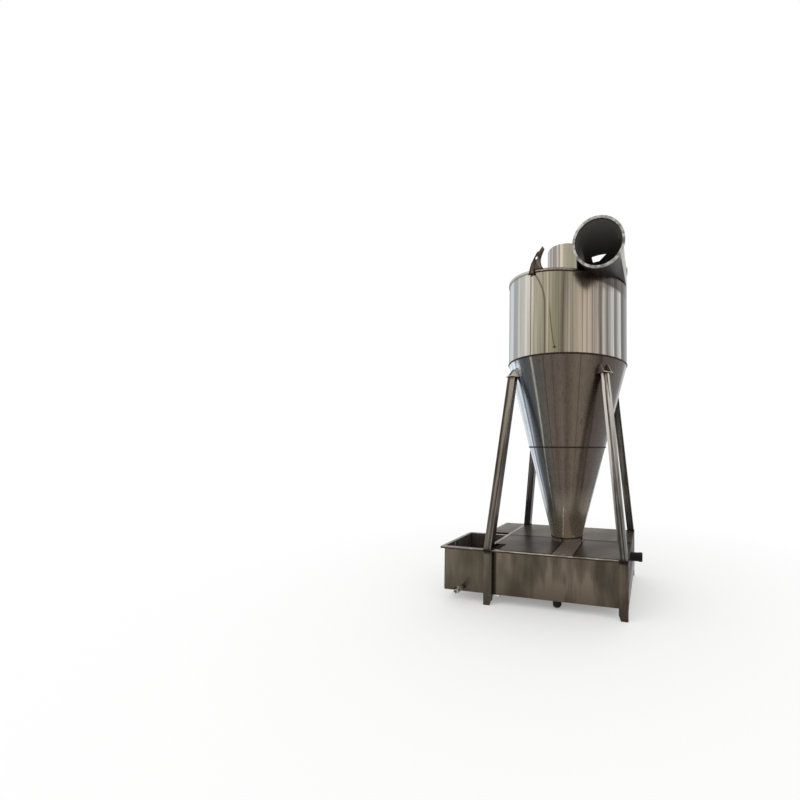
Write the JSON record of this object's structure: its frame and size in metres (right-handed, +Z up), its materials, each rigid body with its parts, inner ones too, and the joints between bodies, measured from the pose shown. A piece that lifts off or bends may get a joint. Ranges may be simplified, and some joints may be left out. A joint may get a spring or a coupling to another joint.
{
  "type": "cyclone separator",
  "caption": "Sheet-steel cyclone with a helical roof, round-to-square gas inlet and open exhaust tube, on splayed legs over a half-covered water trough.",
  "frame": {"origin": "on the floor, under the middle of the whole plan", "axes": "+Z up; +X along the trough, away from the open collecting box; -Y the side where the gas enters"},
  "size_m": [1.839, 1.3216, 3.4358],
  "materials": {
    "cyclone_steel": "bright cold-rolled stainless sheet with soft vertical streaks",
    "trough_steel": "dull mill-finish stainless sheet",
    "frame_steel": "mill-finish stainless tube with heat-dark welds",
    "dark_fittings": "black caps",
    "tap_metal": "cast and turned metal"
  },
  "bodies": {
    "root": {"barrel": "cyclone_steel", "box_back": "trough_steel", "box_end": "trough_steel", "cone_lower": "cyclone_steel", "cone_upper": "cyclone_steel", "cover_back_end": "trough_steel", "cover_back_left": "trough_steel", "cover_back_right": "trough_steel", "cover_front_left": "trough_steel", "cover_front_middle": "trough_steel", "cover_front_right": "trough_steel", "cross_bar": "frame_steel", "drain_pipe": "dark_fittings", "drain_tap": "tap_metal", "exhaust_tube": "cyclone_steel", "inlet_floor": "cyclone_steel", "inlet_hood": "cyclone_steel", "inlet_ring": "cyclone_steel", "inlet_side_plate": "cyclone_steel", "leg_back_left": "frame_steel", "leg_back_right": "frame_steel", "leg_bracket_back_left": "frame_steel", "leg_bracket_back_right": "frame_steel", "leg_bracket_front_left": "frame_steel", "leg_bracket_front_right": "frame_steel", "leg_front_left": "frame_steel", "leg_front_right": "frame_steel", "lifting_lug_back": "frame_steel", "lifting_lug_front": "frame_steel", "outlet_pipe": "cyclone_steel", "overflow_pipe": "dark_fittings", "post_back_left": "frame_steel", "post_back_right": "frame_steel", "post_front_left": "frame_steel", "post_front_right": "frame_steel", "roof": "cyclone_steel", "roof_band": "cyclone_steel", "trough_back": "trough_steel", "trough_bottom": "trough_steel", "trough_front": "trough_steel", "trough_left": "trough_steel", "trough_right": "trough_steel"}
  },
  "joints": []
}
